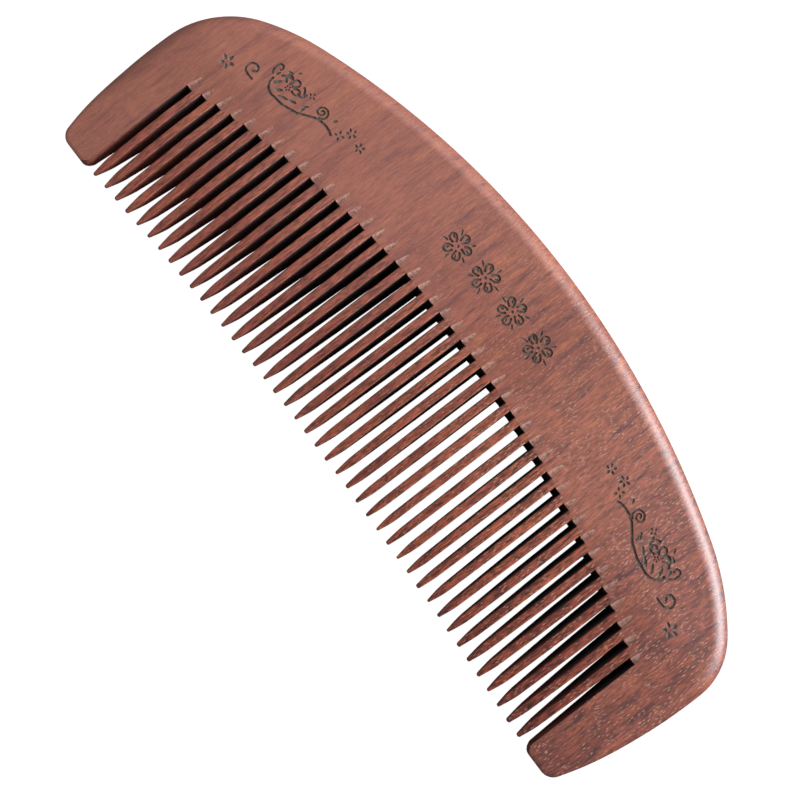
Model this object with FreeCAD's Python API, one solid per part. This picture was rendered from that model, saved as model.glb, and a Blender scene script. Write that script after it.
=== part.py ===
import FreeCAD, Part

import math
import os

from FreeCAD import Vector

# Wide tooth comb for hair, sawn and shaped from one hardwood board.
# The board is divided into its members: the back, two guard teeth and the free teeth between them.
# X runs along the comb, the curved back is at +Y and the tooth tips are at -Y, Z goes through the board.
# The origin is under the middle of the comb's box, on the face that the comb lies on. Millimetres.

# Outline
comb_length = 175.2
comb_width = 66.4
back_radius = 196.0  # long arc of the back
shoulder_reach = 22.0  # from the comb's end to where the shoulder arc starts, along X
shoulder_radius = 54.0
corner_radius_right = 15.0
corner_radius_left = 22.4  # the left corner is sanded rounder
side_radius = 100.0  # slightly bowed end of the comb
guard_corner_radius = 3.0  # outer corner of a guard tooth's end
guard_inner_radius = 2.2

# Thickness
board_thickness = 9.6
end_thickness = 3.4  # at the tips of the guard teeth
flat_depth = 30.9  # from the crown of the back to where both faces start to taper
taper_blend_radius = 60.0
edge_flat = 0.8  # left between the roundings of the outer edge

# Teeth
tooth_count = 42
guard_width = 13.3  # at the comb's widest, from its end to the first slot
slot_width = 1.6
root_depth = 27.0  # from the crown to the end of the middle slots
root_radius = 226.0  # arc through the slot ends
tip_inset = 3.0  # from the line of the guard ends to the tips of the middle teeth
tip_line_radius = 950.0  # arc through the tooth tips
ogive_length = 4.5  # pointed end of a tooth, from above
thinning_length = 20.0  # pointed end of a tooth, from the side
nose_width = 0.5
nose_height = 0.7
nose_depth = 0.15

# Shallow grooves that the saw leaves on both faces past each slot's end
runout_length = 3.2
runout_width = 1.1
runout_depth = 0.5
runout_start = 0.5  # how far inside the slot the cutter begins

margin = 5.0  # how far a cutting region stands past the board

# Worked out from the sizes above
end_x = comb_length / 2
crown_y = comb_width / 2
end_y = -comb_width / 2
middle_z = board_thickness / 2
edge_round = (board_thickness - edge_flat) / 2
tooth_pitch = (comb_length - 2 * guard_width - slot_width) / tooth_count
slot_xs = [(i - tooth_count / 2) * tooth_pitch for i in range(tooth_count + 1)]
taper_y = crown_y - flat_depth
taper_angle = math.atan((board_thickness - end_thickness) / 2 / (taper_y - end_y))
blend_reach = taper_blend_radius * math.tan(taper_angle / 2)
blend_top_y = taper_y + blend_reach
blend_low_y = taper_y - blend_reach * math.cos(taper_angle)


def root_y(x):
    return crown_y - root_depth - root_radius + math.sqrt(root_radius**2 - x**2)


def tip_y(x):
    return end_y + tip_inset - tip_line_radius + math.sqrt(tip_line_radius**2 - x**2)


def half_thickness(y):
    if y >= blend_top_y:
        return board_thickness / 2
    if y > blend_low_y:
        drop = taper_blend_radius - math.sqrt(taper_blend_radius**2 - (blend_top_y - y) ** 2)
        return board_thickness / 2 - drop
    return board_thickness / 2 - (taper_y - y) * math.tan(taper_angle)


def in_plan(point):
    return Vector(point[0], point[1], 0)


def from_the_side(point):
    return Vector(0, point[0], middle_z + point[1])


def on_circle(centre, radius, angle):
    return (centre[0] + radius * math.sin(angle), centre[1] + radius * math.cos(angle))


def arc_edge(start, middle, end, place):
    return Part.Arc(place(start), place(middle), place(end)).toShape()


def line_edges(points, place):
    return [Part.makeLine(place(a), place(b)) for a, b in zip(points, points[1:])]


def arc_middle(start, heading, end):
    """Middle of the arc that leaves start along heading, a unit vector, and passes through end."""
    dx = end[0] - start[0]
    dy = end[1] - start[1]
    normal = (-heading[1], heading[0])
    across = dx * normal[0] + dy * normal[1]
    along = dx * heading[0] + dy * heading[1]
    radius = (along**2 + across**2) / (2 * abs(across))
    side = 1 if across > 0 else -1
    half_turn = math.atan2(abs(across), along)
    step_along = radius * math.sin(half_turn)
    step_across = side * radius * (1 - math.cos(half_turn))
    return (
        start[0] + step_along * heading[0] + step_across * normal[0],
        start[1] + step_along * heading[1] + step_across * normal[1],
    )


def solid_between(edges, depth):
    return Part.Face(Part.Wire(edges)).extrude(depth)


def half_outline(corner_radius):
    """Centre, radius, first and last angle of each arc of one half, from the crown past the guard's end."""
    back_centre = (0, crown_y - back_radius)
    shoulder_start = math.asin((end_x - shoulder_reach) / back_radius)
    shoulder_centre = on_circle(back_centre, back_radius - shoulder_radius, shoulder_start)
    corner_x = end_x - corner_radius
    corner_start = math.asin((corner_x - shoulder_centre[0]) / (shoulder_radius - corner_radius))
    corner_centre = on_circle(shoulder_centre, shoulder_radius - corner_radius, corner_start)
    side_centre = (end_x - side_radius, corner_centre[1])
    side_end = math.pi / 2 + math.asin((side_centre[1] - end_y + margin) / side_radius)
    return [
        (back_centre, back_radius, 0, shoulder_start),
        (shoulder_centre, shoulder_radius, shoulder_start, corner_start),
        (corner_centre, corner_radius, corner_start, math.pi / 2),
        (side_centre, side_radius, math.pi / 2, side_end),
    ]


def guard_corner(corner_radius):
    """Start, middle and end of the arc between a guard tooth's outer side and its end."""
    side_centre = half_outline(corner_radius)[-1][0]
    drop = side_centre[1] - (end_y + guard_corner_radius)
    start = math.pi / 2 + math.asin(drop / (side_radius - guard_corner_radius))
    centre = on_circle(side_centre, side_radius - guard_corner_radius, start)
    return [on_circle(centre, guard_corner_radius, a) for a in (start, (start + math.pi) / 2, math.pi)]


def three_points(arcs):
    return [[on_circle(c, r, a) for a in (first, (first + last) / 2, last)] for c, r, first, last in arcs]


def rounded_board():
    """The board past the guards' ends, its outer edges rounded."""
    right = three_points(half_outline(corner_radius_right))
    left = three_points(half_outline(corner_radius_left))
    left = [[(-x, y) for x, y in reversed(arc)] for arc in reversed(left)]
    edges = [arc_edge(*arc, in_plan) for arc in left + right]
    edges += line_edges([right[-1][2], left[0][0]], in_plan)
    board = solid_between(edges, Vector(0, 0, board_thickness))
    outer = [
        edge
        for edge in board.Edges
        if edge.BoundBox.ZLength < 0.001 and edge.BoundBox.YLength > 0.001
    ]
    return board.makeFillet(edge_round, outer)


def wedge_section():
    """Side view of the board: parallel faces under the back, tapering towards the tips."""
    low_y = end_y - 2 * margin
    half = board_thickness / 2
    flat = [(crown_y + margin, half), (blend_top_y, half)]
    blend_middle = arc_middle(flat[1], (-1, 0), (blend_low_y, half_thickness(blend_low_y)))
    taper = [(blend_low_y, half_thickness(blend_low_y)), (low_y, half_thickness(low_y))]
    upper = line_edges(flat, from_the_side)
    upper.append(arc_edge(flat[1], blend_middle, taper[0], from_the_side))
    upper += line_edges(taper, from_the_side)
    lower = [edge.mirror(Vector(0, 0, middle_z), Vector(0, 0, 1)) for edge in upper]
    ends = [
        Part.makeLine(from_the_side((y, h)), from_the_side((y, -h))) for y, h in (flat[0], taper[1])
    ]
    wire = Part.Wire(Part.sortEdges(upper + lower + ends)[0])
    section = Part.Face(wire).extrude(Vector(comb_length + 2 * margin, 0, 0))
    section.translate(Vector(-end_x - margin, 0, 0))
    return section


def region(points):
    return solid_between(line_edges(points + points[:1], in_plan), Vector(0, 0, board_thickness))


def saw_runout(x, y, face):
    """Slender pyramid past a slot's end: it fades out in the upper face (1) or the lower one (-1)."""
    reach = runout_length + runout_start
    start = y - runout_start
    surface = face * half_thickness(y)
    far_surface = face * half_thickness(y + runout_length)
    wide = runout_width * reach / runout_length
    rim = [(x - wide, surface + face * runout_depth), (x + wide, surface + face * runout_depth)]
    bed = (x, surface - face * runout_depth * reach / runout_length)
    base = [Vector(px, start, middle_z + pz) for px, pz in (*rim, bed)]
    apex = Vector(x, y + runout_length, middle_z + far_surface)
    sides = [[base[i], base[i - 1], apex] for i in range(3)]
    faces = [Part.Face(Part.makePolygon(corners + corners[:1])) for corners in (base, *sides)]
    return Part.Solid(Part.Shell(faces))


def make_back(board):
    outer_y = root_y(slot_xs[0])
    far_x = end_x + margin
    front = [(-far_x, outer_y)]
    for x in slot_xs:
        front.append((x - slot_width / 2, root_y(x)))
        front.append((x + slot_width / 2, root_y(x)))
    front += [(far_x, outer_y), (far_x, crown_y + margin), (-far_x, crown_y + margin)]
    back = board.common(region(front))
    runouts = [saw_runout(x, root_y(x), face) for x in slot_xs for face in (1, -1)]
    return back.cut(Part.makeCompound(runouts))


def make_guard_tooth(board, side, corner_radius):
    root = root_y(slot_xs[-1])
    far_x = end_x + margin
    inner_x = slot_xs[-1] + slot_width / 2
    inner = [(inner_x, end_y + guard_inner_radius), (inner_x + guard_inner_radius, end_y)]
    inner.insert(1, arc_middle(inner[0], (0, -1), inner[1]))
    outer = guard_corner(corner_radius)
    around = [outer[0], (far_x, outer[0][1]), (far_x, root), (inner_x, root), inner[0]]
    inner, outer, around = ([(side * x, y) for x, y in points] for points in (inner, outer, around))
    edges = [arc_edge(*inner, in_plan), arc_edge(*outer, in_plan)]
    edges += line_edges([inner[2], outer[2]], in_plan) + line_edges(around, in_plan)
    edges = Part.sortEdges(edges)[0]
    return board.common(solid_between(edges, Vector(0, 0, board_thickness)))


def tooth_plan(left_slot_x, right_slot_x):
    """Top view of a tooth between two slots: straight sides, then the pointed end."""
    middle_x = (left_slot_x + right_slot_x) / 2
    tip = tip_y(middle_x)
    sides = []
    for slot_x, side in ((left_slot_x, 1), (right_slot_x, -1)):
        edge_x = slot_x + side * slot_width / 2
        root = (edge_x, root_y(slot_x))
        shoulder = (edge_x, tip + ogive_length)
        nose = (middle_x - side * nose_width / 2, tip + nose_depth)
        sides.append((root, shoulder, arc_middle(shoulder, (0, -1), nose), nose))
    (left_root, *left_ogive), (right_root, *right_ogive) = sides
    edges = line_edges([left_ogive[0], left_root, right_root, right_ogive[0]], in_plan)
    edges.append(arc_edge(*right_ogive, in_plan))
    edges.append(arc_edge(right_ogive[2], (middle_x, tip), left_ogive[2], in_plan))
    edges.append(arc_edge(*reversed(left_ogive), in_plan))
    return solid_between(edges, Vector(0, 0, board_thickness))


def tooth_side(middle_x, blade_width):
    """Side view of a tooth: full height, then thinning to a blunt nose."""
    tip = tip_y(middle_x)
    shoulder = (tip + thinning_length, half_thickness(tip + thinning_length))
    nose = (tip + nose_depth, nose_height / 2)
    heading = (-math.cos(taper_angle), -math.sin(taper_angle))
    bow = arc_middle(shoulder, heading, nose)
    back_y = crown_y + margin
    points = [shoulder, (shoulder[0], board_thickness), (back_y, board_thickness)]
    points += [(y, -z) for y, z in reversed(points)]
    edges = line_edges(points, from_the_side)
    edges.append(arc_edge(points[-1], (bow[0], -bow[1]), (nose[0], -nose[1]), from_the_side))
    edges.append(arc_edge((nose[0], -nose[1]), (tip, 0), nose, from_the_side))
    edges.append(arc_edge(nose, bow, shoulder, from_the_side))
    block = solid_between(edges, Vector(blade_width, 0, 0))
    block.translate(Vector(middle_x - blade_width / 2, 0, 0))
    return block


def make_tooth(board, left_slot_x, right_slot_x):
    middle_x = (left_slot_x + right_slot_x) / 2
    tooth = tooth_plan(left_slot_x, right_slot_x).common(board)
    return tooth.common(tooth_side(middle_x, tooth_pitch))


def write(shape, name):
    solids = shape.Solids
    if len(solids) != 1 or not solids[0].isValid():
        raise RuntimeError(f"{name} has {len(solids)} solids or isn't valid")
    solids[0].exportStep(f"parts/{name}.step")


os.makedirs("parts", exist_ok=True)
board = rounded_board().common(wedge_section())
write(make_back(board), "back")
write(make_guard_tooth(board, -1, corner_radius_left), "guard_tooth_left")
write(make_guard_tooth(board, 1, corner_radius_right), "guard_tooth_right")
for number, (left_slot_x, right_slot_x) in enumerate(zip(slot_xs, slot_xs[1:]), 1):
    write(make_tooth(board, left_slot_x, right_slot_x), f"tooth_{number:02d}")
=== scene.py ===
import math
import random

import bpy
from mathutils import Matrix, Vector


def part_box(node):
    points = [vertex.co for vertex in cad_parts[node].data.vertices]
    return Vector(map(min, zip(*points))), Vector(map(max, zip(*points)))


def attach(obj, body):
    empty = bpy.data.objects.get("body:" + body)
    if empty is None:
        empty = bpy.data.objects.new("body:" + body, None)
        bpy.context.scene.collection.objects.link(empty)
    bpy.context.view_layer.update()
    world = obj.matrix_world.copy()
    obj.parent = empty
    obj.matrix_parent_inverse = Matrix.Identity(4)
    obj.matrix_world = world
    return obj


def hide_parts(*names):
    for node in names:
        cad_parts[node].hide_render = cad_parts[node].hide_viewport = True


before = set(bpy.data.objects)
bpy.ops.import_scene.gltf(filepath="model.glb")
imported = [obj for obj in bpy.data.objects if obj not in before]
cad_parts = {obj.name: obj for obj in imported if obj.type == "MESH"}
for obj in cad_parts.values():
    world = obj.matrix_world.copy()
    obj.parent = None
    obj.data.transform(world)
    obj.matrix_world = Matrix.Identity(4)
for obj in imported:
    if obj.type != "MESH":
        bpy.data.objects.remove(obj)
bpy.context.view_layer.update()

mm = 0.001
weld = 0.005 * mm  # corners closer than this are one
dice = random.Random(42)

# the comb lies on one face, teeth towards -Y, back towards +Y; sizes are in metres
backLow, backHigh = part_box("back")
guardLow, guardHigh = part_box("guard_tooth_right")
endX = backHigh.x
crownY = backHigh.y
endY = guardLow.y
topZ = backHigh.z
middleZ = topZ / 2
outerRootY = guardHigh.y
guardInnerX = guardLow.x
toothNames = sorted(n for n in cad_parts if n.startswith("tooth_"))
toothBoxes = [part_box(n) for n in toothNames]
slotWidth = toothBoxes[1][0].x - toothBoxes[0][1].x
slotXs = [low.x - slotWidth / 2 for low, high in toothBoxes] + [guardInnerX - slotWidth / 2]

board = {
    "backRadius": 196 * mm,
    "shoulderReach": 22 * mm,
    "shoulderRadius": 54 * mm,
    "rightCornerRadius": 15 * mm,
    "leftCornerRadius": 22.4 * mm,
    "leftShare": 0.991,  # the left half is sanded a little shorter
    "sideRadius": 100 * mm,
    "guardCornerRadius": 3.0 * mm,
    "rootDepth": 27 * mm,  # crown to the middle slots' ends
    "rootRadius": 226 * mm,
    "flatDepth": 30.9 * mm,  # crown to where the faces start to taper
    "endThickness": 3.4 * mm,
    "blendRadius": 60 * mm,
    "wideRim": 4.4 * mm,  # rounding of the back's edge
    "narrowRim": 0.9 * mm,  # rounding of the guard teeth's ends
    "wideAbove": -14 * mm,  # the rim is wide above this Y and narrow below the next
    "narrowBelow": -28.5 * mm,
    "rimSegments": 9,
    "arcStep": 1.5 * mm,  # longest straight piece of an arc
    "arcTurn": math.radians(7),  # and its largest turn
    "blendSteps": 6,
}

taperY = crownY - board["flatDepth"]
taperAngle = math.atan((topZ - board["endThickness"]) / 2 / (taperY - endY))
blendReach = board["blendRadius"] * math.tan(taperAngle / 2)
blendTopY = taperY + blendReach
blendLowY = taperY - blendReach * math.cos(taperAngle)


def rootY(x):
    r = board["rootRadius"]
    return crownY - board["rootDepth"] - r + math.sqrt(r * r - x * x)


def halfThickness(y):
    if y >= blendTopY:
        return topZ / 2
    if y > blendLowY:
        r = board["blendRadius"]
        return topZ / 2 - r + math.sqrt(r * r - (blendTopY - y) ** 2)
    return topZ / 2 - (taperY - y) * math.tan(taperAngle)


# helpers around the operators
def deselectAll():
    if bpy.context.object and bpy.context.object.mode != "OBJECT":
        bpy.ops.object.mode_set(mode="OBJECT")
    bpy.ops.object.select_all(action="DESELECT")


def pick(ob):
    deselectAll()
    ob.select_set(True)
    bpy.context.view_layer.objects.active = ob


def editAll(ob):
    pick(ob)
    bpy.ops.object.mode_set(mode="EDIT")
    bpy.ops.mesh.select_all(action="SELECT")


def leaveEdit():
    bpy.ops.object.mode_set(mode="OBJECT")


def applyModifier(ob, kind, **values):
    pick(ob)
    mod = ob.modifiers.new(kind.lower(), kind)
    for key, value in values.items():
        setattr(mod, key, value)
    bpy.ops.object.modifier_apply(modifier=mod.name)


def bevelWeights(me):
    return me.attributes.get("bevel_weight_edge") or me.attributes.new("bevel_weight_edge", "FLOAT", "EDGE")


def startCube(name, size, centre):
    deselectAll()
    bpy.ops.mesh.primitive_cube_add(size=1)
    ob = bpy.context.object
    ob.name = name
    editAll(ob)
    bpy.ops.transform.resize(value=size)
    bpy.ops.transform.translate(value=centre)
    leaveEdit()
    return ob


def copyOf(ob, name):
    twin = ob.copy()
    twin.data = ob.data.copy()
    twin.name = twin.data.name = name
    bpy.context.collection.objects.link(twin)
    return twin


def discard(ob):
    bpy.data.objects.remove(ob, do_unlink=True)


def joinAll(parts, name):
    deselectAll()
    for part in parts:
        part.select_set(True)
    bpy.context.view_layer.objects.active = parts[0]
    bpy.ops.object.join()
    ob = bpy.context.object
    ob.name = name
    editAll(ob)
    bpy.ops.mesh.normals_make_consistent(inside=False)
    leaveEdit()
    return ob


finish = {
    "smoothAngle": math.radians(35),
    "level": 0.99999,  # a face this level keeps its own normal
    "broad": 30 * mm * mm,  # and so does one larger than this
}


def finishPiece(ob, node):
    # faces stay flat where they are flat, and the roundings are smooth
    pick(ob)
    bpy.ops.object.shade_smooth_by_angle(angle=finish["smoothAngle"])
    applyModifier(ob, "WEIGHTED_NORMAL", keep_sharp=True)
    me = ob.data
    normals = [corner.vector.copy() for corner in me.corner_normals]
    for poly in me.polygons:
        if abs(poly.normal.z) > finish["level"] or poly.area > finish["broad"]:
            for i in poly.loop_indices:
                normals[i] = poly.normal.copy()
    me.normals_split_custom_set(normals)
    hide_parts(node)
    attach(ob, "root")


# wood: colours, and noise scales in features per metre along X, Y, Z
wood = {
    "pale": (0.345, 0.101, 0.050),
    "middle": (0.258, 0.060, 0.028),
    "deep": (0.110, 0.020, 0.014),
    "orange": (0.45, 0.140, 0.030),
    # painted sheen: a pale veil of reflection laid into the colour
    "paintedSheen": (0.300, 0.096, 0.072),
    "pore": (0.68, 0.36, 0.24),
    # painted shade for the slots, nearly black
    "paintedSlotShade": (0.022, 0.014, 0.012),
    "paintedShadeRight": (0.70, 0.53, 0.54),  # this and the next two are multiplied in; this one is painted shade towards the right end
    # painted shade, multiplied in at the corner of the right guard's tip
    "heart": (0.54, 0.36, 0.40),
    "redder": (0.84, 0.60, 0.56),
    "rightFrom": -45 * mm,  # between these X the wood gets darker, a painted shade, and its grain more open
    "rightTo": 85 * mm,
    "cornerShadeFrom": 78 * mm,  # between these X - Y a painted shade darkens the corner at the right guard's tip
    "cornerShadeTo": 118 * mm,
    "leanBy": 1.6 * mm,  # how far the grain wanders sideways
    "wanderScale": (60, 45, 60),
    "broadScale": (38, 14, 30),
    "streakScale": (640, 70, 300),
    "fibreScale": (3000, 420, 900),
    "mottleScale": (110, 240, 90),
    "poreScale": (4400, 760, 1000),
    "poreless": 0.3,  # share of the cells without a pore
    "charScale": (1500, 1500, 1500),
}


def newGroup(name, inputs, outputs):
    group = bpy.data.node_groups.new(name, "ShaderNodeTree")
    for label, kind, value in inputs:
        socket = group.interface.new_socket(name=label, in_out="INPUT", socket_type=kind)
        if value is not None:
            socket.default_value = value
    for label, kind in outputs:
        group.interface.new_socket(name=label, in_out="OUTPUT", socket_type=kind)
    return group, group.nodes.new("NodeGroupInput"), group.nodes.new("NodeGroupOutput")


def put(tree, kind, links=(), **values):
    # one node; values set its properties, links fill its inputs by name or number
    node = tree.nodes.new("ShaderNode" + kind)
    for key, value in values.items():
        setattr(node, key, value)
    for key, source in dict(links).items():
        if isinstance(source, bpy.types.NodeSocket):
            tree.links.new(source, node.inputs[key])
        else:
            node.inputs[key].default_value = source
    return node


def noiseAt(tree, place, scale, detail=2.0, roughness=0.5):
    spread = put(tree, "VectorMath", {0: place, 1: scale}, operation="MULTIPLY")
    return put(tree, "TexNoise", {"Vector": spread.outputs[0], "Scale": 1.0, "Detail": detail,
                                  "Roughness": roughness}).outputs["Fac"]


def ramp(tree, value, low, high, toLow=0.0, toHigh=1.0):
    return put(tree, "MapRange", {"Value": value, "From Min": low, "From Max": high,
                                  "To Min": toLow, "To Max": toHigh},
               interpolation_type="SMOOTHSTEP").outputs["Result"]


def blend(tree, fac, first, second, mode="MIX"):
    node = tree.nodes.new("ShaderNodeMix")
    node.data_type = "RGBA"
    node.blend_type = mode
    for index, source in ((0, fac), (6, first), (7, second)):
        if isinstance(source, bpy.types.NodeSocket):
            tree.links.new(source, node.inputs[index])
        else:
            node.inputs[index].default_value = (*source, 1) if index else source
    return node.outputs[2]


def calc(tree, operation, first, second=0.0, third=0.0):
    return put(tree, "Math", {0: first, 1: second, 2: third}, operation=operation).outputs[0]


def makeGrain():
    # streaks along Y, short flecks, mottling across; the same board runs through every piece
    group, given, result = newGroup(
        "woodGrain",
        [("Place", "NodeSocketVector", None), ("Redness", "NodeSocketFloat", 0.0),
         ("Flecks", "NodeSocketFloat", 1.0), ("Streaks", "NodeSocketFloat", 0.0)],
        [("Color", "NodeSocketColor"), ("Roughness", "NodeSocketFloat"), ("Height", "NodeSocketFloat")],
    )
    place = given.outputs["Place"]
    axes = put(group, "SeparateXYZ", {0: place})
    wander = noiseAt(group, place, wood["wanderScale"])
    lean = calc(group, "MULTIPLY_ADD", wander, wood["leanBy"], axes.outputs[0])
    grain = put(group, "CombineXYZ", {0: lean, 1: axes.outputs[1], 2: axes.outputs[2]}).outputs[0]

    toRight = ramp(group, axes.outputs[0], wood["rightFrom"], wood["rightTo"])
    broad = noiseAt(group, grain, wood["broadScale"], 3, 0.6)
    streak = noiseAt(group, grain, wood["streakScale"], 4, 0.65)
    fibre = noiseAt(group, grain, wood["fibreScale"], 3, 0.65)
    mottle = noiseAt(group, grain, wood["mottleScale"], 3, 0.6)

    # broad figure, dark and orange streaks, cloudy mottling, and a painted sheen, a pale reflection that
    # fades to the right
    color = blend(group, ramp(group, broad, 0.35, 0.65), wood["middle"], wood["pale"])
    color = blend(group, ramp(group, streak, 0.50, 0.32, 0, 0.85), color, wood["deep"])
    color = blend(group, ramp(group, streak, 0.55, 0.72, 0, 0.7), color, wood["orange"])
    color = blend(group, ramp(group, mottle, 0.42, 0.66, 0, 0.24), color, wood["deep"])
    # painted sheen, strongest at the left end and gone towards the right
    paintedSheen = ramp(group, toRight, 0.45, 0.0, 0, 0.5)
    color = blend(group, paintedSheen, color, wood["paintedSheen"])

    # the fine fibres stand out more to the right
    contrast = calc(group, "MULTIPLY_ADD", toRight, 0.42, 0.16)
    contrast = calc(group, "ADD", contrast, given.outputs["Streaks"])
    fibreShade = calc(group, "MULTIPLY_ADD", ramp(group, fibre, 0.28, 0.72, -1, 1), contrast, 1.0)
    shade = put(group, "CombineColor", {0: fibreShade, 1: fibreShade, 2: fibreShade}).outputs[0]
    color = blend(group, 1.0, color, shade, "MULTIPLY")
    # painted shade: the wood gets darker towards the right end
    darker = blend(group, 1.0, color, wood["paintedShadeRight"], "MULTIPLY")
    color = blend(group, toRight, color, darker)
    # painted shade: darker still towards the corner at the right guard's tip
    heart = blend(group, 1.0, color, wood["heart"], "MULTIPLY")
    corner = calc(group, "SUBTRACT", axes.outputs[0], axes.outputs[1])
    color = blend(group, ramp(group, corner, wood["cornerShadeFrom"], wood["cornerShadeTo"], 0, 0.8), color, heart)

    # short pale pores, fewer on the left and between the mottling
    dash = put(group, "VectorMath", {0: grain, 1: wood["poreScale"]}, operation="MULTIPLY").outputs[0]
    cells = put(group, "TexVoronoi", {"Vector": dash, "Scale": 1.0, "Randomness": 1.0})
    lot = put(group, "SeparateColor", {0: cells.outputs["Color"]}).outputs[0]
    chosen = calc(group, "GREATER_THAN", lot, wood["poreless"])
    fleck = ramp(group, cells.outputs["Distance"], 0.38, 0.14)
    fleck = calc(group, "MULTIPLY", fleck, chosen)
    fleck = calc(group, "MULTIPLY", fleck, ramp(group, mottle, 0.38, 0.58, 0.15, 1))
    fleck = calc(group, "MULTIPLY", fleck, calc(group, "MULTIPLY_ADD", toRight, 0.75, 0.12))
    fleck = calc(group, "MULTIPLY", fleck, given.outputs["Flecks"])
    color = blend(group, fleck, color, wood["pore"])
    deepened = blend(group, 1.0, color, wood["redder"], "MULTIPLY")
    color = blend(group, given.outputs["Redness"], color, deepened)

    height = calc(group, "MULTIPLY_ADD", streak, 0.5, fibre)
    height = calc(group, "MULTIPLY_ADD", fleck, -0.8, height)
    rough = calc(group, "MULTIPLY_ADD", fibre, 0.16, 0.40)
    for label, source in (("Color", color), ("Height", height), ("Roughness", rough)):
        group.links.new(source, result.inputs[label])
    return group


grainGroup = makeGrain()


def woodMaterial(name, redness=0.0, flecks=1.0, streaks=0.0, bump=0.06, polish=0.0, sheenless=0.0,
                 burn=None, paintedSlotShade=None):
    mat = bpy.data.materials.new(name)
    mat.use_nodes = True
    tree = mat.node_tree
    shader = tree.nodes["Principled BSDF"]
    place = put(tree, "TexCoord").outputs["Object"]
    grain = tree.nodes.new("ShaderNodeGroup")
    grain.node_tree = grainGroup
    tree.links.new(place, grain.inputs["Place"])
    if isinstance(redness, tuple):  # two values of Y, and the redness at each
        y = put(tree, "SeparateXYZ", {0: place}).outputs[1]
        tree.links.new(ramp(tree, y, *redness), grain.inputs["Redness"])
    else:
        grain.inputs["Redness"].default_value = redness
    grain.inputs["Flecks"].default_value = flecks
    grain.inputs["Streaks"].default_value = streaks
    color = grain.outputs["Color"]
    if burn:  # dark and light patches, through which some of the grain shows
        patch = noiseAt(tree, place, wood["charScale"], 3, 0.6)
        color = blend(tree, ramp(tree, patch, *burn["patch"]), burn["dark"], burn["light"])
        color = blend(tree, burn["through"], color, grain.outputs["Color"])
    if paintedSlotShade:  # painted shade in the slots, darkest at the slot's end
        y = put(tree, "SeparateXYZ", {0: place}).outputs[1]
        color = blend(tree, ramp(tree, y, *paintedSlotShade), color, wood["paintedSlotShade"])
    tree.links.new(color, shader.inputs["Base Color"])
    rough = calc(tree, "ADD", grain.outputs["Roughness"], sheenless)
    tree.links.new(rough, shader.inputs["Roughness"])
    relief = put(tree, "Bump", {"Height": grain.outputs["Height"], "Strength": 1.0, "Distance": bump * mm})
    tree.links.new(relief.outputs[0], shader.inputs["Normal"])
    shader.inputs["IOR"].default_value = 1.5
    shader.inputs["Coat Weight"].default_value = polish
    shader.inputs["Coat Roughness"].default_value = 0.5
    return mat


backWood = woodMaterial("oiledWood", polish=0.8)
toothWood = woodMaterial("toothWood", redness=(6 * mm, -26 * mm, 0.1, 0.8), flecks=1.6, streaks=0.42,
                         polish=0.2)
# painted shade: a dark, redder wood for the slots' walls and ends, where shade falls
slotPaintedShade = woodMaterial("slotPaintedShade", redness=0.8, flecks=0.2, streaks=0.2, sheenless=0.3,
                        paintedSlotShade=(-31 * mm, -8 * mm, 0.25, 0.93))
rawWood = woodMaterial("sawnWood", flecks=0.3, bump=0.15, sheenless=0.3,
                       burn={"dark": (0.28, 0.13, 0.10), "light": (0.50, 0.29, 0.23), "patch": (0.35, 0.6),
                             "through": 0.35})
charredWood = woodMaterial("charredWood", flecks=0.2, bump=0.2, sheenless=0.5,
                           burn={"dark": (0.050, 0.047, 0.040), "light": (0.165, 0.135, 0.110),
                                 "patch": (0.35, 0.65), "through": 0.12})
print("materials made")


# blank: the whole outline of the board, drawn as tangent arcs, thickened, rounded and tapered
def onCircle(centre, radius, angle):
    return (centre[0] + radius * math.sin(angle), centre[1] + radius * math.cos(angle))


def halfOutline(cornerRadius):
    # centre, radius, first and last angle from +Y, clockwise; one half, from the crown down
    b = board
    backC = (0, crownY - b["backRadius"])
    a1 = math.asin((endX - b["shoulderReach"]) / b["backRadius"])
    shoulderC = onCircle(backC, b["backRadius"] - b["shoulderRadius"], a1)
    a2 = math.asin((endX - cornerRadius - shoulderC[0]) / (b["shoulderRadius"] - cornerRadius))
    cornerC = onCircle(shoulderC, b["shoulderRadius"] - cornerRadius, a2)
    sideC = (endX - b["sideRadius"], cornerC[1])
    drop = sideC[1] - endY - b["guardCornerRadius"]
    a3 = math.pi / 2 + math.asin(drop / (b["sideRadius"] - b["guardCornerRadius"]))
    guardC = onCircle(sideC, b["sideRadius"] - b["guardCornerRadius"], a3)
    return [
        (backC, b["backRadius"], 0, a1),
        (shoulderC, b["shoulderRadius"], a1, a2),
        (cornerC, cornerRadius, a2, math.pi / 2),
        (sideC, b["sideRadius"], math.pi / 2, a3),
        (guardC, b["guardCornerRadius"], a3, math.pi),
    ]


def rimWidth(y):
    b = board
    t = min(1, max(0, (y - b["narrowBelow"]) / (b["wideAbove"] - b["narrowBelow"])))
    return b["narrowRim"] + (b["wideRim"] - b["narrowRim"]) * t * t * (3 - 2 * t)


def startVertex(name, place):
    deselectAll()
    bpy.ops.mesh.primitive_plane_add(size=mm)
    ob = bpy.context.object
    ob.name = name
    editAll(ob)
    bpy.ops.mesh.select_mode(type="VERT")
    bpy.ops.mesh.merge(type="CENTER")
    bpy.ops.transform.translate(value=place)
    return ob


def drawHalf(cornerRadius):
    ob = startVertex("outline_half", (0, crownY, 0))
    arcs = halfOutline(cornerRadius)
    for centre, radius, first, last in arcs:
        steps = math.ceil(radius * (last - first) / board["arcStep"])
        steps = max(steps, math.ceil((last - first) / board["arcTurn"]))
        bpy.ops.mesh.spin(steps=steps, angle=last - first, center=(*centre, 0), axis=(0, 0, 1))
    guardEnd = arcs[-1][0][0]
    bpy.ops.mesh.extrude_region_move(TRANSFORM_OT_translate={"value": (-guardEnd, 0, 0)})
    leaveEdit()
    return ob


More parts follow.
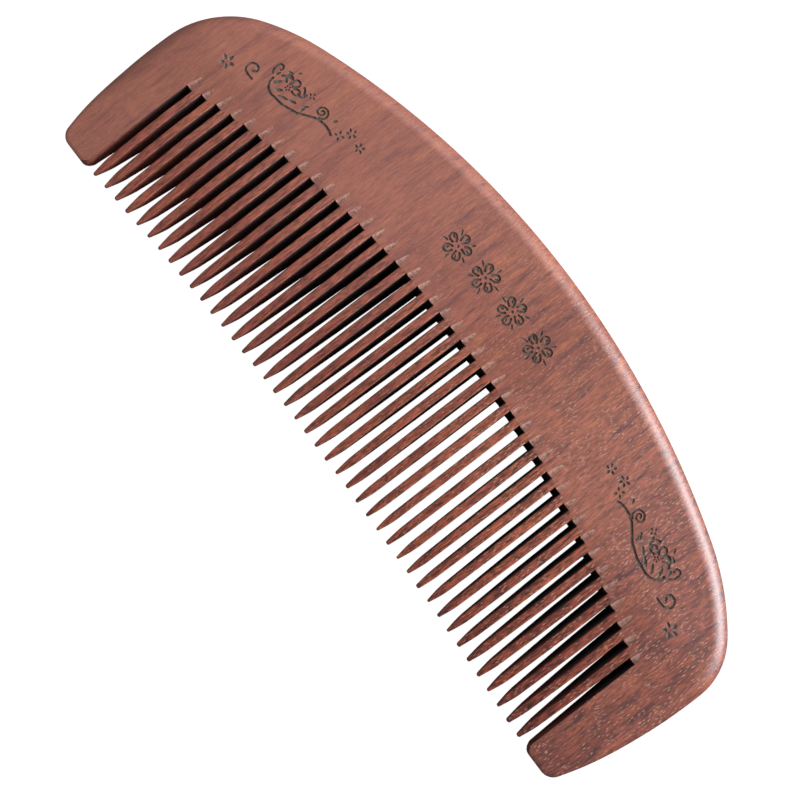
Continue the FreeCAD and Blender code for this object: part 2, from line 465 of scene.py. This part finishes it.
def makeBlank():
    right = drawHalf(board["rightCornerRadius"])
    ob = drawHalf(board["leftCornerRadius"])
    ob.name = "board_blank"
    editAll(ob)
    bpy.ops.transform.resize(value=(-board["leftShare"], 1, 1), center_override=(0, 0, 0))
    leaveEdit()
    right.select_set(True)
    bpy.ops.object.join()
    editAll(ob)
    bpy.ops.mesh.remove_doubles(threshold=weld)
    bpy.ops.mesh.edge_face_add()
    bpy.ops.mesh.extrude_region_move(TRANSFORM_OT_translate={"value": (0, 0, topZ)})
    bpy.ops.mesh.select_all(action="SELECT")
    bpy.ops.mesh.normals_make_consistent(inside=False)
    leaveEdit()

    me = ob.data
    weights = bevelWeights(me)
    for edge in me.edges:
        a, b = (me.vertices[i].co for i in edge.vertices)
        if abs(a.z - b.z) < weld:
            weights.data[edge.index].value = rimWidth((a.y + b.y) / 2) / board["wideRim"]
    applyModifier(ob, "BEVEL", width=board["wideRim"], segments=board["rimSegments"],
                  limit_method="WEIGHT", use_clamp_overlap=False)
    editAll(ob)
    # rings where both faces start to taper
    for i in range(board["blendSteps"] + 1):
        bpy.ops.mesh.select_all(action="SELECT")
        y = blendLowY + (blendTopY - blendLowY) * i / board["blendSteps"]
        bpy.ops.mesh.bisect(plane_co=(0, y, 0), plane_no=(0, 1, 0))
    leaveEdit()
    for v in me.vertices:
        v.co.z = middleZ + (v.co.z - middleZ) * halfThickness(v.co.y) / middleZ
    return ob


blank = makeBlank()
print("blank made,", len(blank.data.vertices), "vertices")


# guard teeth: the blank cut off below the first and last slot's end
guard = {
    "innerRadius": 2.2 * mm,
    "cornerCuts": 7,  # cuts that round the corner between the slot's wall and the end
    "slotRim": 0.45 * mm,  # rounding along the slot's wall
    "upright": 0.1,  # a face with less of its normal along Z is a wall
    "level": 0.8,  # and one with more is an upper or lower face
    "sawnWall": 0.97,
}


def makeGuard(name, side):
    ob = copyOf(blank, name)
    editAll(ob)
    bpy.ops.mesh.bisect(plane_co=(0, outerRootY, 0), plane_no=(0, 1, 0), use_fill=True, clear_outer=True)
    # the slot's wall, then the corner between wall and end
    radius = guard["innerRadius"]
    inner = side * guardInnerX
    centre = Vector((inner + side * radius, endY + radius, 0))
    for i in range(guard["cornerCuts"]):
        angle = math.pi / 2 * i / guard["cornerCuts"]
        towards = Vector((-side * math.cos(angle), -math.sin(angle), 0))
        bpy.ops.mesh.select_all(action="SELECT")
        bpy.ops.mesh.bisect(plane_co=centre + radius * towards, plane_no=towards, use_fill=True,
                            clear_outer=True)
    leaveEdit()
    me = ob.data
    weights = bevelWeights(me)
    tilts = {}
    for poly in me.polygons:
        for key in poly.edge_keys:
            tilts.setdefault(key, []).append(abs(poly.normal.z))
    # only the edges between the slot's wall and the two faces are rounded
    for edge in me.edges:
        a, b = (me.vertices[i].co for i in edge.vertices)
        nearSlot = abs(a.x - inner) < radius and abs(b.x - inner) < radius
        low, high = min(tilts[edge.key]), max(tilts[edge.key])
        rim = nearSlot and len(tilts[edge.key]) == 2 and low < guard["upright"] and high > guard["level"]
        weights.data[edge.index].value = 1 if rim else 0
    applyModifier(ob, "BEVEL", width=guard["slotRim"], segments=2, limit_method="WEIGHT")
    me.materials.append(backWood)
    me.materials.append(slotPaintedShade)
    # the slot's wall gets the painted shade
    for poly in me.polygons:
        poly.material_index = 1 if poly.normal.x * side < -guard["sawnWall"] else 0
    return ob


for node, side in (("guard_tooth_left", -1), ("guard_tooth_right", 1)):
    finishPiece(makeGuard(node.replace("tooth", "blade"), side), node)
print("guard teeth made")

# teeth: one blade, then a copy fitted between each pair of slots
tooth = {
    "edgeRound": 0.30 * mm,
    "edgeSegments": 3,
    "rings": 12,  # along the straight part
    "pointLength": 4.5 * mm,
    "thinLength": 20 * mm,  # the teeth thin over this length, seen from the side
    "noseWidth": 0.92 * mm,
    "noseHeight": 0.85 * mm,
    "noseDepth": 0.45 * mm,
    "pointRings": (1.0, 0.85, 0.7, 0.56, 0.43, 0.31, 0.2, 0.1),  # shares of the point's length
    "capRings": ((0.6, 0.92), (0.3, 0.71), (0.07, 0.37)),  # shares of the nose's depth and size
    "spread": 0.16 * mm,  # how unevenly the tips end
    "sway": 0.05 * mm,  # and how far they stand aside
    "thinnest": 0.96,  # share of the width that the thinnest tooth keeps at its tip
    "noseSpread": (0.9, 1.5),  # share of the nose's width, from tooth to tooth
    "roundAtPoint": 0.45,  # how round the section is where the point starts
    "roundToNose": 0.7,  # and how much rounder it gets from there
    "sawnWall": 0.8,
}


def makeBlade():
    # unit length shaft from y=1 to y=0, real width, height of the back; rings along it
    width = toothBoxes[0][1].x - toothBoxes[0][0].x
    ob = startCube("tooth_blade", (width, 1, topZ), (0, 0.5, 0))
    me = ob.data
    weights = bevelWeights(me)
    for edge in me.edges:
        a, b = (me.vertices[i].co for i in edge.vertices)
        weights.data[edge.index].value = 1 if abs(a.y - b.y) > 0.5 else 0
    applyModifier(ob, "BEVEL", width=tooth["edgeRound"], segments=tooth["edgeSegments"],
                  limit_method="WEIGHT")
    editAll(ob)
    for i in range(1, tooth["rings"]):
        bpy.ops.mesh.select_all(action="SELECT")
        bpy.ops.mesh.bisect(plane_co=(0, i / tooth["rings"], 0), plane_no=(0, 1, 0))
    bpy.ops.mesh.select_mode(type="FACE")
    bpy.ops.mesh.select_all(action="DESELECT")
    leaveEdit()
    for poly in ob.data.polygons:
        poly.select = poly.normal.y < -0.5
    bpy.ops.object.mode_set(mode="EDIT")
    # every extruded ring steps down by 1, and is placed when the blade is fitted
    for i in range(len(tooth["pointRings"]) - 1 + len(tooth["capRings"])):
        bpy.ops.mesh.extrude_region_move(TRANSFORM_OT_translate={"value": (0, -1, 0)})
    leaveEdit()
    return ob


def arcDrop(full, nose, length, fromTip):
    # how far an arc that leaves full at length has dropped at a distance from the tip; it ends at nose
    run = length - tooth["noseDepth"]
    drop = full - nose
    radius = (run ** 2 + drop ** 2) / (2 * drop)
    reach = max(0, length - max(fromTip, tooth["noseDepth"]))
    return radius - math.sqrt(radius ** 2 - reach ** 2)


def fitBlade(ob, low, high, leftSlot, rightSlot):
    # low and high are the CAD tooth's box; the roots lie on the line between the two slot ends
    middleX = (low.x + high.x) / 2
    halfWidth = (high.x - low.x) / 2
    tipY = low.y + dice.uniform(0, tooth["spread"])
    sway = dice.uniform(-1, 1) * tooth["sway"]
    thin = dice.uniform(tooth["thinnest"], 1.0)
    noseWidth = tooth["noseWidth"] * dice.uniform(*tooth["noseSpread"])
    roots = (rootY(leftSlot), rootY(rightSlot))
    shoulderY = tipY + tooth["pointLength"]
    thinY = tipY + tooth["thinLength"]
    noseRing = len(tooth["pointRings"]) - 1
    for v in ob.data.vertices:
        # a and b across and through the blade, from -1 to 1; t along it, below 0 in the point
        a = v.co.x / halfWidth
        b = v.co.z / middleZ
        t = v.co.y
        wide = halfWidth * (thin + (1 - thin) * max(0, t) ** 4)
        lean = sway * (1 - max(0, t)) ** 2
        shrink = 1
        if t > -0.5:
            y = shoulderY + (roots[0] + (roots[1] - roots[0]) * (a + 1) / 2 - shoulderY) * t
            rounder = max(0, tooth["roundAtPoint"] * (1 - (y - shoulderY) / (thinY - shoulderY)))
        else:
            ring = round(-t)
            if ring <= noseRing:
                along = tooth["pointRings"][ring]
            else:
                depth, shrink = tooth["capRings"][ring - noseRing - 1]
                along = tooth["pointRings"][noseRing] * depth
            y = tipY + along * tooth["pointLength"]
            rounder = min(1, tooth["roundAtPoint"] + (1 - along) * tooth["roundToNose"])
        wide -= arcDrop(wide, noseWidth / 2, tooth["pointLength"], y - tipY)
        deep = halfThickness(y)
        deep -= arcDrop(halfThickness(tipY), tooth["noseHeight"] / 2, tooth["thinLength"], y - tipY)
        size = math.hypot(a, b)
        a += (a / size - a) * rounder
        b += (b / size - b) * rounder
        v.co = (middleX + a * wide * shrink + lean, y, middleZ + b * deep * shrink)


blade = makeBlade()
for node, (low, high), leftSlot, rightSlot in zip(toothNames, toothBoxes, slotXs, slotXs[1:]):
    piece = copyOf(blade, node.replace("tooth", "blade"))
    fitBlade(piece, low, high, leftSlot, rightSlot)
    piece.data.materials.append(toothWood)
    piece.data.materials.append(slotPaintedShade)
    # the side walls get the painted shade of the slots
    for poly in piece.data.polygons:
        poly.material_index = 1 if abs(poly.normal.x) > tooth["sawnWall"] else 0
    finishPiece(piece, node)
discard(blade)
print(len(toothNames), "teeth made")

# back: the blank above the stepped line of the slot ends
runout = {
    "length": 2.9 * mm,
    "width": 1.3 * mm,
    "depth": 0.30 * mm,
    "start": 0.4 * mm,  # how far inside the slot it begins
    "slotDepth": 1.1,  # share of the depth where it leaves the slot
    "fade": 1.3,  # how fast the bed rises from there
    "thinEnd": 0.01 * mm,  # what is left of the depth where it ends
    "farNarrow": 0.7,  # share of the width that it loses by then
    "hollow": 0.8,  # how much shallower its sides are than its middle
    "aside": 0.12 * mm,
    "depthSpread": (0.82, 1.08),
    "lengthSpread": (0.85, 1.15),
}
margin = 10 * mm  # how far the front cutter stands past the board


def makeFrontCutter():
    # everything below the roots; its upper outline steps at each slot
    far = endX + margin
    points = [(far, outerRootY)]
    for x in reversed(slotXs):
        points += [(x + slotWidth / 2, rootY(x)), (x - slotWidth / 2, rootY(x))]
    points += [(-far, outerRootY), (-far, endY - margin), (far, endY - margin)]
    ob = startVertex("front_cutter", (*points[0], -topZ))
    for a, b in zip(points, points[1:] + points[:1]):
        bpy.ops.mesh.extrude_region_move(TRANSFORM_OT_translate={"value": (b[0] - a[0], b[1] - a[1], 0)})
    bpy.ops.mesh.select_all(action="SELECT")
    bpy.ops.mesh.remove_doubles(threshold=weld)
    bpy.ops.mesh.edge_face_add()
    bpy.ops.mesh.extrude_region_move(TRANSFORM_OT_translate={"value": (0, 0, 3 * topZ)})
    bpy.ops.mesh.select_all(action="SELECT")
    bpy.ops.mesh.normals_make_consistent(inside=False)
    leaveEdit()
    # the slots' ends take the painted shade from this cutter
    ob.data.materials.append(slotPaintedShade)
    return ob


def cut(ob, cutter):
    applyModifier(ob, "BOOLEAN", operation="DIFFERENCE", solver="EXACT", object=cutter,
                  material_mode="TRANSFER")
    discard(cutter)


comb = copyOf(blank, "comb_back")
comb.data.materials.append(backWood)
discard(blank)
cut(comb, makeFrontCutter())
print("back cut out")


def makeRunoutCutters():
    # a slim wedge whose bed rises to the surface away from the slot; one per slot and face
    reach = runout["length"] + runout["start"]
    model = startCube("runout_model", (runout["width"], reach, 2 * runout["depth"]), (0, reach / 2, 0))
    editAll(model)
    bpy.ops.mesh.subdivide(number_cuts=3)
    leaveEdit()
    for v in model.data.vertices:
        t = min(1, max(0, v.co.y / reach))
        deepest = runout["depth"] * runout["slotDepth"] * (1 - t) ** runout["fade"] + runout["thinEnd"]
        across = v.co.x / (runout["width"] / 2)
        v.co.x *= 1 - runout["farNarrow"] * t ** 2
        if v.co.z < 0:
            v.co.z = v.co.z / runout["depth"] * deepest * (1 - runout["hollow"] * across ** 2)
    pieces = []
    for x in slotXs:
        for face in (1, -1):
            one = copyOf(model, "runout")
            dx = dice.uniform(-1, 1) * runout["aside"]
            deeper = dice.uniform(*runout["depthSpread"])
            longer = dice.uniform(*runout["lengthSpread"])
            for v in one.data.vertices:
                y = rootY(x) - runout["start"] + v.co.y * longer
                z = v.co.z * deeper
                v.co = (x + dx + v.co.x, y, middleZ + face * (halfThickness(y) + z))
            pieces.append(one)
    discard(model)
    ob = joinAll(pieces, "runouts")
    ob.data.materials.append(rawWood)
    return ob


cut(comb, makeRunoutCutters())
print("saw run-outs cut,", len(comb.data.vertices), "vertices")

# ornament: a flowering vine at each end and four blossoms between, burnt into the upper face;
# its drawings give places and sizes in mm and turns in degrees
ornament = {
    "line": 0.5 * mm,
    "arcTurn": 18,  # largest turn of a line's straight pieces, in degrees
    "depth": 0.22 * mm,
    "petalDepth": 0.24 * mm,
    "lift": 0.04 * mm,  # keeps the cutters' widest ring off the comb's face
    "faceSpan": 80,  # the comb's face is divided between these X, in mm, at every step
    "faceStep": 10,
    "rosettes": (-12.9, -4.3, 4.6, 13.6),  # X of the four blossoms, in mm
    "rosetteY": 18.2,
    "rosetteDrop": 0.4,  # they follow the back's curve a little
    "rosetteTurn": 25,
}


def stroke(x, y, heading, turns, width=1.0):
    # a groove made of arcs, each a radius and a turn; places in mm, a positive turn goes left
    x, y, heading = x * mm, y * mm, math.radians(heading)
    ob = startVertex("stroke", (x, y, topZ - ornament["depth"]))
    for radius, turn in turns:
        side = math.copysign(radius * mm, turn)
        cx, cy = x - side * math.sin(heading), y + side * math.cos(heading)
        bpy.ops.mesh.spin(steps=math.ceil(abs(turn) / ornament["arcTurn"]), angle=-math.radians(turn),
                          center=(cx, cy, 0), axis=(0, 0, 1))
        heading += math.radians(turn)
        x, y = cx + side * math.sin(heading), cy - side * math.cos(heading)
    bpy.ops.mesh.select_all(action="SELECT")
    bpy.ops.mesh.extrude_region_move(TRANSFORM_OT_translate={"value": (0, 0, 2 * ornament["depth"])})
    leaveEdit()
    applyModifier(ob, "SOLIDIFY", thickness=ornament["line"] * width, offset=0)
    return ob


def leaf(x, y, heading, length, width):
    # a leaf or petal pressed into the face, starting at x, y; places and sizes in mm
    heading = math.radians(heading)
    deselectAll()
    bpy.ops.mesh.primitive_uv_sphere_add(segments=10, ring_count=6, radius=0.5)
    ob = bpy.context.object
    editAll(ob)
    bpy.ops.transform.resize(value=(length * mm, width * mm, 2 * ornament["petalDepth"]),
                             center_override=(0, 0, 0))
    bpy.ops.transform.rotate(value=-heading, orient_axis="Z", center_override=(0, 0, 0))
    bpy.ops.transform.translate(value=((x + length / 2 * math.cos(heading)) * mm,
                                       (y + length / 2 * math.sin(heading)) * mm,
                                       topZ + ornament["lift"]))
    leaveEdit()
    return ob


def blossom(x, y, count, size, first=0):
    # petals that stand a little off the middle
    made = []
    for i in range(count):
        angle = first + 360 * i / count
        a = math.radians(angle)
        made.append(leaf(x + 0.22 * size * math.cos(a), y + 0.22 * size * math.sin(a), angle,
                         0.8 * size, 0.5 * size))
    return made


def petal(x, y, heading, size):
    # an open drop drawn round in one line
    return stroke(x, y, heading - 38, [(3.2 * size, 24), (0.82 * size, 205), (3.2 * size, 20)])


def drawing(parts, name):
    # where lines cross, they become one groove
    ob = joinAll(parts, name)
    block = startCube("block", (mm, mm, mm), (0, 0, -topZ))
    applyModifier(ob, "BOOLEAN", operation="DIFFERENCE", solver="EXACT", object=block, use_self=True)
    discard(block)
    ob.data.materials.append(charredWood)
    return ob


def makeVine():
    # the single blossom and the hook next to it
    parts = blossom(-73.2, 3.4, 5, 1.8, 20)
    parts.append(stroke(-66.8, 5.3, 190, [(6, -20), (1.35, -190), (0.7, -130)]))
    parts.append(leaf(-68.9, 7.9, -20, 1.5, 0.7))
    parts.append(leaf(-68.6, 5.9, 60, 1.3, 0.6))
    # stem and bud
    parts.append(stroke(-64.6, 9.2, 268, [(2.6, 92), (13, 30), (9, 15), (6, -45), (5, -25)], 1.15))
    parts.append(stroke(-52.0, 11.25, 10, [(1.25, 250), (0.8, 200), (0.4, 200)]))
    parts.append(leaf(-49.6, 12.9, 60, 1.4, 0.6))
    parts.append(leaf(-55.6, 8.9, 75, 1.5, 0.65))
    # tendril, then the leaves along the stem
    parts.append(stroke(-65.4, 9.4, 140, [(2.2, -70), (0.62, -220)]))
    for x, y, heading, length, width in (
        (-64.0, 7.9, 62, 2.6, 0.8), (-62.6, 7.3, 48, 2.4, 0.8), (-61.0, 7.3, 30, 2.6, 0.8),
        (-58.9, 8.3, 35, 2.2, 0.8), (-57.6, 10.7, 80, 1.9, 0.8), (-56.0, 9.7, 55, 1.8, 0.6),
    ):
        parts.append(leaf(x, y, heading, length, width))
    # curls and small leaves above the large flower
    parts.append(stroke(-63.9, 10.6, 60, [(3.0, -40), (0.8, -150)]))
    parts.append(stroke(-59.0, 12.9, -10, [(1.6, -80), (0.5, -160)]))
    for x, y, heading, length, width in (
        (-63.9, 12.3, 20, 1.6, 0.7), (-64.9, 9.6, 75, 1.5, 0.6), (-62.3, 13.3, 60, 1.3, 0.5),
    ):
        parts.append(leaf(x, y, heading, length, width))
    # the large flower
    flowerX, flowerY, heart = -60.9, 10.0, 0.9
    for angle, size in ((75, 0.9), (125, 0.85), (20, 0.85)):
        a = math.radians(angle)
        parts.append(petal(flowerX + heart * math.cos(a), flowerY + heart * math.sin(a), angle, size))
    parts.append(leaf(-62.9, 10.6, 100, 2.0, 0.8))
    parts += blossom(flowerX, flowerY, 5, 0.75)
    # small blossoms along the tip of the vine
    parts += blossom(-46.3, 12.3, 4, 1.25, 30) + blossom(-45.1, 14.6, 5, 1.3, 10)
    parts += blossom(-41.6, 14.0, 5, 1.3, 50) + blossom(-56.4, 13.0, 4, 0.9)
    return drawing(parts, "vine_left")


def makeRosette(x, y, turn):
    # five open petals, each with a drop in it, and a leaf between each two
    parts = []
    for i in range(5):
        angle = turn + 72 * i
        a = math.radians(angle)
        parts.append(petal(x + 0.9 * math.cos(a), y + 0.9 * math.sin(a), angle, 0.95))
        parts.append(leaf(x + 1.7 * math.cos(a), y + 1.7 * math.sin(a), angle, 1.1, 0.5))
        b = math.radians(angle + 36)
        parts.append(leaf(x + 2.3 * math.cos(b), y + 2.3 * math.sin(b), angle + 36, 1.6, 0.55))
    parts.append(leaf(x - 0.4, y, 0, 0.8, 0.8))
    return drawing(parts, "rosette")


# smaller faces around the drawings keep them flat
editAll(comb)
for x in range(-ornament["faceSpan"], ornament["faceSpan"] + 1, ornament["faceStep"]):
    bpy.ops.mesh.select_all(action="SELECT")
    bpy.ops.mesh.bisect(plane_co=(x * mm, 0, 0), plane_no=(1, 0, 0))
leaveEdit()

vine = makeVine()
mirrored = copyOf(vine, "vine_right")
editAll(mirrored)
bpy.ops.transform.resize(value=(-1, 1, 1), center_override=(0, 0, 0))
bpy.ops.mesh.flip_normals()
leaveEdit()
cut(comb, vine)
cut(comb, mirrored)
for i, x in enumerate(ornament["rosettes"]):
    y = ornament["rosetteY"] - ornament["rosetteDrop"] * abs(i - 1.5)
    cut(comb, makeRosette(x, y, 90 + ornament["rosetteTurn"] * i))
print("ornament cut,", len(comb.data.vertices), "vertices")

finishPiece(comb, "back")

# camera, floor and light
seen = {
    "place": (22.77 * mm, -30.73 * mm, 212.55 * mm),
    "turn": (7.294, -1.380, 52.594),  # in degrees
    "lens": 46.0,
    "sensor": 36.0,
    "nearest": 10 * mm,
    "floorSize": 6.0,
    "floorDrop": 0.05 * mm,
    "roomLight": 0.42,
}
camera = bpy.data.objects.new("camera", bpy.data.cameras.new("camera"))
bpy.context.collection.objects.link(camera)
camera.location = seen["place"]
camera.rotation_euler = [math.radians(a) for a in seen["turn"]]
camera.data.lens = seen["lens"]
camera.data.sensor_width = seen["sensor"]
camera.data.clip_start = seen["nearest"]
bpy.context.scene.camera = camera

deselectAll()
bpy.ops.mesh.primitive_plane_add(size=seen["floorSize"], location=(0, 0, -seen["floorDrop"]))
floor = bpy.context.object
floor.name = "floor"
# the paper is white to the camera and gives the comb little light
paper = bpy.data.materials.new("whitePaper")
paper.use_nodes = True
shader = paper.node_tree.nodes["Principled BSDF"]
shader.inputs["Base Color"].default_value = (0.06, 0.06, 0.06, 1)
shader.inputs["Emission Color"].default_value = (1, 1, 1, 1)
shader.inputs["Roughness"].default_value = 0.9
rays = put(paper.node_tree, "LightPath")
paper.node_tree.links.new(rays.outputs["Is Camera Ray"], shader.inputs["Emission Strength"])
floor.data.materials.append(paper)


def softbox(name, direction, distance, size, power, color=(1, 1, 1)):
    # it faces the comb's middle
    light = bpy.data.lights.new(name, "AREA")
    light.shape = "RECTANGLE"
    light.size, light.size_y = size
    light.energy = power
    light.color = color
    ob = bpy.data.objects.new(name, light)
    bpy.context.collection.objects.link(ob)
    towards = Vector(direction).normalized()
    ob.location = towards * distance
    ob.rotation_euler = towards.to_track_quat("Z", "Y").to_euler()


softbox("back softbox", direction=(-0.15, 0.8, 0.6), distance=0.9, size=(0.9, 0.35), power=2.4)
softbox("side softbox", direction=(0.56, 0.76, 0.34), distance=0.7, size=(0.6, 0.3), power=11.5,
        color=(0.86, 0.94, 1.0))
world = bpy.data.worlds.new("room")
bpy.context.scene.world = world
world.use_nodes = True
sky = world.node_tree.nodes["Background"]
sky.inputs["Color"].default_value = (1, 1, 1, 1)
sky.inputs["Strength"].default_value = seen["roomLight"]
bpy.context.scene.view_settings.view_transform = "Standard"
